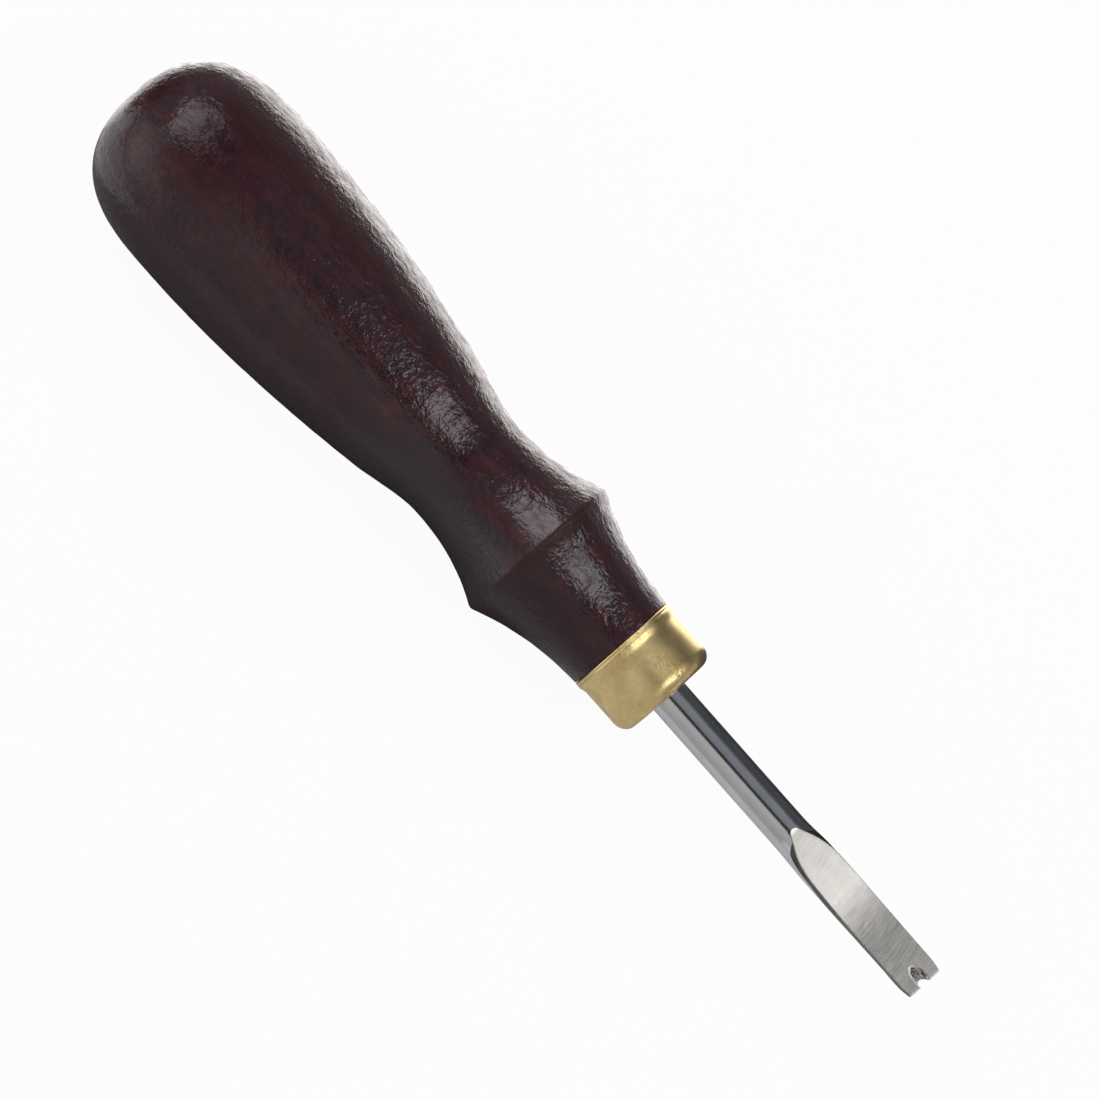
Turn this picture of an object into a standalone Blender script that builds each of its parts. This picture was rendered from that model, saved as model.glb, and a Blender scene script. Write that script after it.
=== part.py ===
"""Leather edge beveler: a turned wooden handle, a drawn brass ferrule and a one-piece steel blade.

The tool lies along X with the cutting end at +X. The ground flat of the blade faces +Z.
All sizes are in metres. Each piece is drawn about the tool's own axis and is placed
along it by an empty that lies on that axis.
"""
import math

import bpy
import bmesh

# Handle, from the butt forward. Lengths follow each other along the axis.
BUTT_LENGTH = 0.0198
BELLY_DIAMETER = 0.0294
TAPER_LENGTH = 0.0367
TAPER_DIAMETER = 0.0222
HOLLOW_LENGTH = 0.0109
WAIST_DIAMETER = 0.0180
FLARE_LENGTH = 0.01355
ARRIS_DIAMETER = 0.0239
ARRIS_LAND = 0.0010
COLLAR_LENGTH = 0.0162
SHOULDER_DIAMETER = 0.0164

# Slopes of the turned outline, as rise of the radius over run along the axis.
TAPER_SLOPE = -0.175
FLARE_SLOPE = 0.48
COLLAR_SLOPE = -0.45
SHOULDER_SLOPE = -0.03

# Fullness of the domed butt: 2 and 2 would be a plain ellipse.
BUTT_FULLNESS_ALONG = 3.15
BUTT_FULLNESS_ACROSS = 2.35

# Brass ferrule, a cup drawn from sheet.
FERRULE_LENGTH = 0.0095
FERRULE_DIAMETER = 0.0159
FERRULE_WALL = 0.0007
FERRULE_CORNER = 0.0018
FERRULE_EDGE = 0.0002
LIP_FLARE = 0.0003
LIP_LENGTH = 0.0013

# Steel blade. Stations of the ground end are measured back from the tip.
SHANK_DIAMETER = 0.0055
BLADE_REACH = 0.0515
SHANK_INSET = 0.0065
TANG_LENGTH = 0.0360
TANG_ROOT = 0.0040
TANG_END = 0.0024
TANG_POINT_WIDTH = 0.0012
TANG_POINT_LENGTH = 0.0020

# Ground flat on top: a short steep lead at the apex, then two grinds that meet in a soft bend.
FLAT_LENGTH = 0.0275
FLAT_LEAD = 0.0012
FLAT_BEND = 0.0140
FLAT_BEND_RUN = 0.0030
FLAT_LEAD_SLOPE = -0.20
FLAT_FIRST_SLOPE = -0.088
FLAT_LAST_SLOPE = -0.03

# Spread of the hammered bar under the flat.
SPREAD_WIDTH = 0.00585
SPREAD_STATION = 0.0190
TIP_WIDTH = 0.0057
TOE_LENGTH = 0.0017
TOE_TAPER = 0.0002
TIP_CORNER = 0.0002
SPREAD_SQUARENESS = 4.5

# Sole under the tip, and the cutting notch between the toes.
SOLE_LENGTH = 0.0150
TIP_THICKNESS = 0.0013
SOLE_START_SLOPE = 0.06
SOLE_END_SLOPE = 0.27
NOTCH_WIDTH = 0.00184
NOTCH_LENGTH = 0.0031
NOTCH_ANGLE = math.radians(35.0)

# Fits between the pieces.
SOCKET_CLEARANCE = 0.0003
TENON_CLEARANCE = 0.0003
SHANK_HOLE_CLEARANCE = 0.0002
SEAT_GAP = 0.0002
SOCKET_END_GAP = 0.0006

# Fineness of the curves.
TURN_STEPS = 48
CURVE_STEPS = 9
LIP_STEPS = 4
CROWN_STEPS = 4
CORNER_STEPS = 3
BLADE_STEP = 0.0008
MERGE_DISTANCE = 0.000001
SHARP_ANGLE = math.radians(28.0)

# Squareness of a ring across the bar: 2 is round.
ROUND = 2.0
SQUARE = 6.0

HANDLE_LENGTH = (BUTT_LENGTH + TAPER_LENGTH + HOLLOW_LENGTH + FLARE_LENGTH
                 + ARRIS_LAND + COLLAR_LENGTH)
FERRULE_STATION = HANDLE_LENGTH + SEAT_GAP
BLADE_STATION = FERRULE_STATION + FERRULE_LENGTH
OVERALL_LENGTH = BLADE_STATION + BLADE_REACH
TURN_PHASE = math.pi / TURN_STEPS
AXIS_HEIGHT = BELLY_DIAMETER / 2 * math.cos(TURN_PHASE)


def clear_scene():
    for obj in list(bpy.data.objects):
        bpy.data.objects.remove(obj, do_unlink=True)


def material(name, colour, roughness, metallic):
    mat = bpy.data.materials.new(name)
    mat.use_nodes = True
    shader = mat.node_tree.nodes["Principled BSDF"]
    shader.inputs["Base Color"].default_value = (*colour, 1.0)
    shader.inputs["Roughness"].default_value = roughness
    shader.inputs["Metallic"].default_value = metallic
    mat.diffuse_color = (*colour, 1.0)
    return mat


def add_object(name, bm, mat=None):
    """Turn a mesh in the making into an object. Cutters have no material."""
    bmesh.ops.recalc_face_normals(bm, faces=bm.faces)
    mesh = bpy.data.meshes.new(name)
    bm.to_mesh(mesh)
    bm.free()
    if mat is not None:
        mesh.shade_smooth()
        mesh.set_sharp_from_angle(angle=SHARP_ANGLE)
        mesh.materials.append(mat)
    obj = bpy.data.objects.new(name, mesh)
    bpy.context.scene.collection.objects.link(obj)
    return obj


def place(obj, parent, station):
    obj.parent = parent
    obj.location = (station, 0.0, 0.0)


def cut(obj, cutter):
    cutter.hide_render = True
    cutter.display_type = "WIRE"
    mod = obj.modifiers.new(cutter.name, "BOOLEAN")
    mod.operation = "DIFFERENCE"
    mod.solver = "EXACT"
    mod.object = cutter


def ease(t):
    """Smooth step from 0 to 1, level at both ends."""
    t = min(max(t, 0.0), 1.0)
    return t * t * (3.0 - 2.0 * t)


def cubic(x, start, end):
    """Height at x of the cubic through two (x, height, slope) ends."""
    x0, h0, m0 = start
    x1, h1, m1 = end
    run = x1 - x0
    t = (x - x0) / run
    rise = t * t * (3.0 - 2.0 * t)
    return (h0 + (h1 - h0) * rise
            + run * m0 * t * (1.0 - t) ** 2
            - run * m1 * t * t * (1.0 - t))


def curve_points(start, end, steps):
    """Points along that cubic, without its first one."""
    points = []
    for i in range(1, steps + 1):
        x = start[0] + (end[0] - start[0]) * i / steps
        points.append((x, cubic(x, start, end)))
    return points


def lathe(points, closed):
    """Turn (station, radius) points about the X axis into one closed skin."""
    bm = bmesh.new()
    verts = []
    for x, r in points:
        verts.append(bm.verts.new((x, r * math.sin(TURN_PHASE), r * math.cos(TURN_PHASE))))
    edges = [bm.edges.new(pair) for pair in zip(verts, verts[1:])]
    if closed:
        edges.append(bm.edges.new((verts[-1], verts[0])))
    bmesh.ops.spin(bm, geom=verts + edges, cent=(0, 0, 0), axis=(1, 0, 0),
                   angle=2 * math.pi, steps=TURN_STEPS, use_merge=True)
    bmesh.ops.remove_doubles(bm, verts=bm.verts, dist=MERGE_DISTANCE)
    return bm


def section(x, half_width, above, below, squareness_above, squareness_below):
    """One ring across the bar at x. Squareness 2 is round, a larger one is squarer."""
    ring = []
    for i in range(TURN_STEPS):
        angle = 2 * math.pi * i / TURN_STEPS + TURN_PHASE
        across = abs(math.sin(angle)) / half_width
        if math.cos(angle) > 0:
            upright = abs(math.cos(angle)) / above
            power = squareness_above
        else:
            upright = abs(math.cos(angle)) / below
            power = squareness_below
        r = (across ** power + upright ** power) ** (-1.0 / power)
        ring.append((x, r * math.sin(angle), r * math.cos(angle)))
    return ring


def loft(rings):
    """Skin over the rings, closed at both ends."""
    bm = bmesh.new()
    loops = [[bm.verts.new(point) for point in ring] for ring in rings]
    count = len(loops[0])
    for near, far in zip(loops, loops[1:]):
        for i in range(count):
            j = (i + 1) % count
            bm.faces.new((near[i], near[j], far[j], far[i]))
    bm.faces.new(loops[0])
    bm.faces.new(loops[-1])
    return bm


def extrude_outline(points, direction):
    """Push a flat outline along a direction, from half behind it to half before it."""
    bm = bmesh.new()
    half = [d / 2 for d in direction]
    verts = [bm.verts.new([p - h for p, h in zip(point, half)]) for point in points]
    face = bm.faces.new(verts)
    grown = bmesh.ops.extrude_face_region(bm, geom=[face])
    moved = [item for item in grown["geom"] if isinstance(item, bmesh.types.BMVert)]
    bmesh.ops.translate(bm, verts=moved, vec=direction)
    return bm


# Handle

def handle_outline():
    """Turned outline from the butt's pole to the shoulder at the ferrule."""
    belly = BELLY_DIAMETER / 2
    x_taper = BUTT_LENGTH + TAPER_LENGTH
    x_waist = x_taper + HOLLOW_LENGTH
    x_arris = x_waist + FLARE_LENGTH
    x_collar = x_arris + ARRIS_LAND
    butt = (BUTT_LENGTH, belly, 0.0)
    taper = (x_taper, TAPER_DIAMETER / 2, TAPER_SLOPE)
    waist = (x_waist, WAIST_DIAMETER / 2, 0.0)
    flare = (x_arris, ARRIS_DIAMETER / 2, FLARE_SLOPE)
    collar = (x_collar, ARRIS_DIAMETER / 2, COLLAR_SLOPE)
    shoulder = (HANDLE_LENGTH, SHOULDER_DIAMETER / 2, SHOULDER_SLOPE)
    points = [(0.0, 0.0)]
    dome_steps = 2 * CURVE_STEPS
    for i in range(1, dome_steps + 1):
        t = (i / dome_steps) ** 2
        r = belly * (1 - (1 - t) ** BUTT_FULLNESS_ALONG) ** (1 / BUTT_FULLNESS_ACROSS)
        points.append((BUTT_LENGTH * t, r))
    points += curve_points(butt, taper, CURVE_STEPS)
    points += curve_points(taper, waist, CURVE_STEPS)
    points += curve_points(waist, flare, CURVE_STEPS)
    # The arris is worn to a small crown, not a knife edge.
    points += curve_points(flare, collar, CROWN_STEPS)
    points += curve_points(collar, shoulder, CURVE_STEPS)
    return points


def inside_corner():
    """Radius inside the cup's front corner. The tenon is chamfered as much, so it clears it."""
    return FERRULE_CORNER - FERRULE_WALL


def tenon_radius():
    return FERRULE_DIAMETER / 2 - FERRULE_WALL - TENON_CLEARANCE


def make_handle(mat):
    points = handle_outline()
    tenon_end = BLADE_STATION - FERRULE_WALL - SEAT_GAP
    points.append((HANDLE_LENGTH, tenon_radius()))
    points.append((tenon_end - inside_corner(), tenon_radius()))
    points.append((tenon_end, tenon_radius() - inside_corner()))
    points.append((tenon_end, 0.0))
    return add_object("handle", lathe(points, False), mat)


def make_socket():
    """Blind hole in the handle: the tang and the root of the shank, with clearance all round."""
    bm = loft(tang_rings(SOCKET_CLEARANCE, SOCKET_END_GAP))
    return add_object("socket_cutter", bm)


# Ferrule

def make_ferrule(mat):
    outer = FERRULE_DIAMETER / 2
    lip = outer + LIP_FLARE
    bore = outer - FERRULE_WALL
    hole = SHANK_DIAMETER / 2 + SHANK_HOLE_CLEARANCE
    edge = FERRULE_EDGE
    points = [(0.0, bore), (0.0, lip - edge), (edge, lip)]
    points += curve_points((edge, lip, 0.0), (LIP_LENGTH, outer, 0.0), LIP_STEPS)
    centre = FERRULE_LENGTH - FERRULE_CORNER
    for i in range(CURVE_STEPS):
        turn = math.pi / 2 * i / (CURVE_STEPS - 1)
        points.append((centre + FERRULE_CORNER * math.sin(turn),
                       outer - FERRULE_CORNER + FERRULE_CORNER * math.cos(turn)))
    points.append((FERRULE_LENGTH, hole + edge))
    points.append((FERRULE_LENGTH - edge, hole))
    points.append((FERRULE_LENGTH - FERRULE_WALL, hole))
    for i in range(CURVE_STEPS):
        turn = math.pi / 2 * (1 - i / (CURVE_STEPS - 1))
        points.append((centre + inside_corner() * math.sin(turn),
                       outer - FERRULE_CORNER + inside_corner() * math.cos(turn)))
    return add_object("ferrule", lathe(points, True), mat)


# Blade. Its local X is 0 at the ferrule's front face and grows toward the tip.

def tang_rings(clearance, end_gap):
    """Rings from the tang's point to the ferrule's front face, grown by a clearance."""
    shoulder = -SHANK_INSET
    root = TANG_ROOT / 2 + clearance
    end = TANG_END / 2 + clearance
    point = TANG_POINT_WIDTH / 2 + clearance
    shank = SHANK_DIAMETER / 2 + clearance
    tang_end = shoulder - TANG_LENGTH
    neck = SHANK_DIAMETER / 2 - TANG_ROOT / 2
    return [
        section(tang_end - end_gap, point, point, point, SQUARE, SQUARE),
        section(tang_end + TANG_POINT_LENGTH - end_gap, end, end, end, SQUARE, SQUARE),
        section(shoulder - neck - clearance, root, root, root, SQUARE, SQUARE),
        section(shoulder - clearance, shank, shank, shank, ROUND, ROUND),
        section(0.0, shank, shank, shank, ROUND, ROUND),
    ]


def bar_half_width(x):
    """Half width of the hammered bar: it swells under the flat, then runs straight to the tip."""
    back = BLADE_REACH - x
    shank = SHANK_DIAMETER / 2
    swell = SPREAD_WIDTH / 2
    tip = TIP_WIDTH / 2
    if back > SPREAD_STATION:
        t = (FLAT_LENGTH - back) / (FLAT_LENGTH - SPREAD_STATION)
        return shank + (swell - shank) * ease(t)
    width = swell + (tip - swell) * ease(1 - back / SPREAD_STATION)
    width -= TOE_TAPER * max(1 - back / TOE_LENGTH, 0.0)
    if back < TIP_CORNER:
        width -= TIP_CORNER - math.sqrt(max(TIP_CORNER ** 2 - (TIP_CORNER - back) ** 2, 0.0))
    return width


def bar_squareness(x):
    t = (FLAT_LENGTH - (BLADE_REACH - x)) / (FLAT_LENGTH - SPREAD_STATION)
    return ROUND + (SPREAD_SQUARENESS - ROUND) * ease(t)


def bend_run(past, run):
    """Length run beyond a bend that is rounded over a run, at a distance past its middle."""
    t = min(max(past + run / 2, 0.0), run)
    return t * t / (2 * run) + max(past - run / 2, 0.0)


def flat_height(x):
    """Height of the ground flat above the axis."""
    from_apex = x - (BLADE_REACH - FLAT_LENGTH)
    from_bend = x - (BLADE_REACH - FLAT_BEND)
    lead = bend_run(from_apex - FLAT_LEAD / 2, FLAT_LEAD)
    bend = bend_run(from_bend, FLAT_BEND_RUN)
    return (SHANK_DIAMETER / 2 + FLAT_LEAD_SLOPE * from_apex
            + (FLAT_FIRST_SLOPE - FLAT_LEAD_SLOPE) * lead
            + (FLAT_LAST_SLOPE - FLAT_FIRST_SLOPE) * bend)


def sole_height(x):
    """Height of the rounded sole under the tip."""
    start = (BLADE_REACH - SOLE_LENGTH, -SHANK_DIAMETER / 2, SOLE_START_SLOPE)
    end = (BLADE_REACH, flat_height(BLADE_REACH) - TIP_THICKNESS, SOLE_END_SLOPE)
    return cubic(x, start, end)


def make_blade(mat):
    rings = tang_rings(0.0, 0.0)
    shank = SHANK_DIAMETER / 2
    first = BLADE_REACH - FLAT_LENGTH
    toe = BLADE_REACH - TOE_LENGTH
    last = BLADE_REACH - TIP_CORNER
    stations = [first / 2]
    count = math.ceil((toe - first) / BLADE_STEP)
    stations += [first + (toe - first) * i / count for i in range(count + 1)]
    for i in range(CORNER_STEPS + 1):
        stations.append(last + TIP_CORNER * math.sin(math.pi / 2 * i / CORNER_STEPS))
    for x in stations:
        rings.append(section(x, bar_half_width(x), shank, shank, bar_squareness(x), ROUND))
    return add_object("blade", loft(rings), mat)


def make_flat_cutter():
    """Everything above the ground flat."""
    start = BLADE_REACH - FLAT_LENGTH
    clear = SHANK_DIAMETER
    points = [(start - clear, 0.0, flat_height(start - clear))]
    steps = 8 * CURVE_STEPS
    for i in range(steps + 1):
        x = start + FLAT_LENGTH * i / steps
        points.append((x, 0.0, flat_height(x)))
    points.append((BLADE_REACH + clear, 0.0, flat_height(BLADE_REACH + clear)))
    points.append((BLADE_REACH + clear, 0.0, 2 * clear))
    points.append((start - clear, 0.0, 2 * clear))
    bm = extrude_outline(points, (0.0, 2 * SPREAD_WIDTH, 0.0))
    return add_object("flat_cutter", bm)


def make_sole_cutter():
    """Everything below the sole."""
    start = BLADE_REACH - SOLE_LENGTH
    clear = SHANK_DIAMETER
    points = [(start - clear, 0.0, -SHANK_DIAMETER / 2 - clear * SOLE_START_SLOPE)]
    steps = 2 * CURVE_STEPS
    for i in range(steps + 1):
        x = start + SOLE_LENGTH * i / steps
        points.append((x, 0.0, sole_height(x)))
    points.append((BLADE_REACH + clear, 0.0, sole_height(BLADE_REACH) + clear * SOLE_END_SLOPE))
    points.append((BLADE_REACH + clear, 0.0, -2 * clear))
    points.append((start - clear, 0.0, -2 * clear))
    bm = extrude_outline(points, (0.0, 2 * SPREAD_WIDTH, 0.0))
    return add_object("sole_cutter", bm)


def make_notch_cutter():
    """Round-floored groove that dives from the flat and comes out through the sole at the tip."""
    radius = NOTCH_WIDTH / 2
    reach = 4 * NOTCH_LENGTH
    start_x = BLADE_REACH - NOTCH_LENGTH
    start_z = flat_height(start_x)
    # The outline stands square to the groove's run, with its lowest point where the floor starts.
    up = (math.sin(NOTCH_ANGLE), math.cos(NOTCH_ANGLE))
    points = []
    arc_steps = 2 * CURVE_STEPS
    for i in range(arc_steps + 1):
        turn = math.pi * i / arc_steps
        lift = radius * (1 - math.sin(turn))
        points.append((start_x + up[0] * lift, -radius * math.cos(turn), start_z + up[1] * lift))
    for side in (1, -1):
        lift = reach
        points.append((start_x + up[0] * lift, side * radius, start_z + up[1] * lift))
    run = (2 * reach * math.cos(NOTCH_ANGLE), 0.0, -2 * reach * math.sin(NOTCH_ANGLE))
    return add_object("notch_cutter", extrude_outline(points, run))


def build():
    clear_scene()
    wood = material("lacquered_hardwood", (0.035, 0.019, 0.020), 0.30, 0.0)
    brass = material("satin_brass", (0.60, 0.45, 0.20), 0.32, 1.0)
    steel = material("polished_steel", (0.56, 0.57, 0.60), 0.18, 1.0)

    axis = bpy.data.objects.new("tool_axis", None)
    bpy.context.scene.collection.objects.link(axis)
    axis.location = (-OVERALL_LENGTH / 2, 0.0, AXIS_HEIGHT)

    handle = make_handle(wood)
    place(handle, axis, 0.0)
    socket = make_socket()
    place(socket, axis, BLADE_STATION)
    cut(handle, socket)

    ferrule = make_ferrule(brass)
    place(ferrule, axis, FERRULE_STATION)

    blade = make_blade(steel)
    place(blade, axis, BLADE_STATION)
    for cutter in (make_flat_cutter(), make_sole_cutter(), make_notch_cutter()):
        place(cutter, axis, BLADE_STATION)
        cut(blade, cutter)


build()
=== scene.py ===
"""The leather edge beveler as photographed: lacquered handle, brass ferrule and ground steel blade.

The tool lies along X with the cutting end at +X, and its ground flat faces +Z. Sizes are in metres.
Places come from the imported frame; the sizes that it can't give are named below.
"""
import math
import random

import bmesh
import bpy
from mathutils import Matrix, Vector


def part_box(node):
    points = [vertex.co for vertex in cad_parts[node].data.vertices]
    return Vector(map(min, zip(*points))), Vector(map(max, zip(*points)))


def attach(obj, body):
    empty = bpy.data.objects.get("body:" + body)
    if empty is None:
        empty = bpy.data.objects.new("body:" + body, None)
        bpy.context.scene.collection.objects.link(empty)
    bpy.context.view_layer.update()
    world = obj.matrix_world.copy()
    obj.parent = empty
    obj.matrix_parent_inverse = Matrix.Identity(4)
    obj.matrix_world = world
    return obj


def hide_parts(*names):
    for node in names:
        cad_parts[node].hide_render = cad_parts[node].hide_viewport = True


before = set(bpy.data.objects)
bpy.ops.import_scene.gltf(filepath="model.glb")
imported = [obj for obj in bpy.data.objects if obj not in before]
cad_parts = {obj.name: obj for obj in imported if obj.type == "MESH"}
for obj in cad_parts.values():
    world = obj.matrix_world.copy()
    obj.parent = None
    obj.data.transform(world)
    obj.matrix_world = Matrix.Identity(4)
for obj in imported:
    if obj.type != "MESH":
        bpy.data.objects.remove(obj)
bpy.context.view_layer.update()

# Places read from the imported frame.
HANDLE_LOW, HANDLE_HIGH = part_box("handle")
FERRULE_LOW, FERRULE_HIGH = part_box("ferrule")
BLADE_LOW, BLADE_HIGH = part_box("blade")
AXIS_HEIGHT = (HANDLE_LOW.z + HANDLE_HIGH.z) / 2
BUTT_X = HANDLE_LOW.x
TENON_X = HANDLE_HIGH.x
FERRULE_X = FERRULE_LOW.x
FACE_X = FERRULE_HIGH.x
TANG_X = BLADE_LOW.x
TIP_X = BLADE_HIGH.x
BELLY_RADIUS = (HANDLE_HIGH.z - HANDLE_LOW.z) / 2
LIP_RADIUS = (FERRULE_HIGH.z - FERRULE_LOW.z) / 2

# Handle: stretches along the axis from the butt forward, radii and slopes of the turned outline.
BUTT_LENGTH = 0.0198
TAPER_LENGTH = 0.0367
HOLLOW_LENGTH = 0.0109
FLARE_LENGTH = 0.01355
ARRIS_LAND = 0.0010
JOINT_LINE = 0.00002
TAPER_RADIUS = 0.0111
WAIST_RADIUS = 0.0090
ARRIS_RADIUS = 0.01195
SHOULDER_RADIUS = 0.0082
SHOULDER_EASE = 0.0001
TAPER_SLOPE = -0.175
FLARE_SLOPE = 0.48
COLLAR_SLOPE = -0.45
SHOULDER_SLOPE = -0.03
BUTT_FULLNESS_ALONG = 3.15
BUTT_FULLNESS_ACROSS = 2.35
TENON_RADIUS = 0.00695
TENON_CHAMFER = 0.0011
SOCKET_RADIUS = 0.0031
SOCKET_END_RADIUS = 0.0023
SOCKET_END_GAP = 0.0003
SHANK_INSET = 0.0065
ARRIS_X = BUTT_X + BUTT_LENGTH + TAPER_LENGTH + HOLLOW_LENGTH + FLARE_LENGTH

# Ferrule: a cup drawn from sheet.
FERRULE_RADIUS = 0.00795
FERRULE_WALL = 0.0007
FERRULE_CORNER = 0.0018
FERRULE_CORNER_RUN = 0.0022
FERRULE_EDGE = 0.00024
BEAD_LENGTH = 0.00045
BEAD_DEPTH = 0.00005
LIP_LENGTH = 0.0019
SHANK_HOLE_RADIUS = 0.00295

# Blade: stations of the ground end are measured back from the tip.
SHANK_RADIUS = 0.00275
TANG_ROOT = 0.0020
TANG_END = 0.0012
TANG_POINT = 0.0006
TANG_POINT_LENGTH = 0.0020
FLAT_LENGTH = 0.0275
FLAT_LEAD = 0.0008
FLAT_BEND = 0.0125
FLAT_BEND_RUN = 0.0080
FLAT_LEAD_SLOPE = -0.15
FLAT_FIRST_SLOPE = -0.0865
FLAT_LAST_SLOPE = -0.018
SPREAD_HALF_WIDTH = 0.002925
SPREAD_STATION = 0.0205
SPREAD_SQUARENESS = 4.5
TIP_HALF_WIDTH = 0.00285
TOE_LENGTH = 0.0017
TOE_TAPER = 0.0002
TIP_CORNER = 0.0002
TIP_THICKNESS = 0.0013
SOLE_LENGTH = 0.0150
SOLE_START_SLOPE = 0.06
SOLE_END_SLOPE = 0.27
NOTCH_RADIUS = 0.00092
NOTCH_LENGTH = 0.0031
NOTCH_REACH = 2.2
NOTCH_ANGLE = math.radians(35.0)
NOTCH_BREAK = 0.00008
NOTCH_SEED = 11
FILE_MARK = 0.00006
LONG_MARKS = 0.7
STRAY_MARKS = 0.3
GRIND_SLANT = math.radians(12.0)
FLAT_EDGE = 0.00007
SOLE_EDGE = 0.00025
EDGE_SHARE = 0.4
FRONT_EDGE = 0.00012

# Side walls left by the hammer: how far they run down from the flat, near its apex and further on,
# and the stretches past the apex over which they open.
WALL_START = 0.0012
WALL_RUN = 0.0015
WALL_WIDTH = 0.0008
WALL_DROP_START = 0.0040
WALL_DROP_RUN = 0.0090
WALL_DROP = 0.0014

# Squareness of a ring across the bar: 2 is round.
ROUND = 2.0
SQUARE = 6.0

# Uneven finish on the turned pieces: how deep it sinks, how wide its patches are, and its seed.
LACQUER_UNEVENNESS = 0.00010
LACQUER_PATCH = 0.0024
LACQUER_SEED = 3.0
BRASS_UNEVENNESS = 0.00003
BRASS_PATCH = 0.0032
BRASS_SEED = 8.0

# Stain and lacquer: where a matt brown strip takes their place just past the arris, and how ragged
# their edges are.
MATT_STRIP_X = ARRIS_X + 0.0018
RAGGED_EDGE = 0.0012

# Depth of the relief that is too fine for the meshes.
LACQUER_RELIEF = 0.000045
BRASS_RELIEF = 0.000004
POLISH_RELIEF = 0.00000015
GRIND_RELIEF = 0.0000005
FORGE_RELIEF = 0.000012
FILE_RELIEF = 0.00003
BURNISH_RELIEF = 0.000006

# Fineness of the meshes.
HANDLE_TURNS = 288
FERRULE_TURNS = 256
OUTLINE_STEP = 0.00036
BLADE_STEP = 0.0003
MERGE_DISTANCE = 0.0000005
SHARP_ANGLE = math.radians(28.0)
FLAT_FACE_WEIGHT = 80
FLAT_COLUMNS = 10
EDGE_COLUMNS = 4
WALL_COLUMNS = 6
SIDE_COLUMNS = 40
SOLE_COLUMNS = 10

# Camera: the blade's flat is rolled away from it, and the tool runs down to the right.
BLADE_ROLL = math.radians(13.0)
TOOL_SLANT = math.radians(48.5)
VIEW_WIDTH = 0.14707
LENS = 250.0
SENSOR = 36.0
VIEW_CENTRE_X = BUTT_X + 0.08273
VIEW_CENTRE_ACROSS = 0.00107

# Directions in the picture: along the tool, across it to the upper right, and toward the camera.
ALONG = Vector((1.0, 0.0, 0.0))
ACROSS = Vector((0.0, math.cos(BLADE_ROLL), math.sin(BLADE_ROLL)))
TOWARD = Vector((0.0, -math.sin(BLADE_ROLL), math.cos(BLADE_ROLL)))


# Curves

def ease(t):
    """Smooth step from 0 to 1, level at both ends."""
    t = min(max(t, 0.0), 1.0)
    return t * t * (3.0 - 2.0 * t)


def cubic(x, start, end):
    """Height at x of the cubic through two (x, height, slope) ends."""
    x0, h0, m0 = start
    x1, h1, m1 = end
    run = x1 - x0
    t = (x - x0) / run
    return (h0 + (h1 - h0) * t * t * (3.0 - 2.0 * t)
            + run * m0 * t * (1.0 - t) ** 2
            - run * m1 * t * t * (1.0 - t))


def curve_points(start, end):
    """Points along that cubic at the outline's step, without its first one."""
    steps = math.ceil((end[0] - start[0]) / OUTLINE_STEP)
    points = []
    for i in range(1, steps + 1):
        x = start[0] + (end[0] - start[0]) * i / steps
        points.append((x, cubic(x, start, end)))
    return points


def arc_points(centre, radius, first, last, steps):
    """Points on an arc in (station, radius), by its angle from the forward direction."""
    points = []
    for i in range(steps + 1):
        turn = first + (last - first) * i / steps
        points.append((centre[0] + radius * math.cos(turn), centre[1] + radius * math.sin(turn)))
    return points


# Node trees

def add_node(tree, kind, inputs=None, **settings):
    """A node with its settings; an input is a value, or another node's output to link."""
    node = tree.nodes.new(kind)
    for name, value in settings.items():
        setattr(node, name, value)
    for key, value in (inputs or {}).items():
        if isinstance(value, bpy.types.NodeSocket):
            tree.links.new(value, node.inputs[key])
        else:
            node.inputs[key].default_value = value
    return node


def math_node(tree, operation, *values):
    node = add_node(tree, "ShaderNodeMath", dict(enumerate(values)), operation=operation)
    return node.outputs[0]


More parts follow.
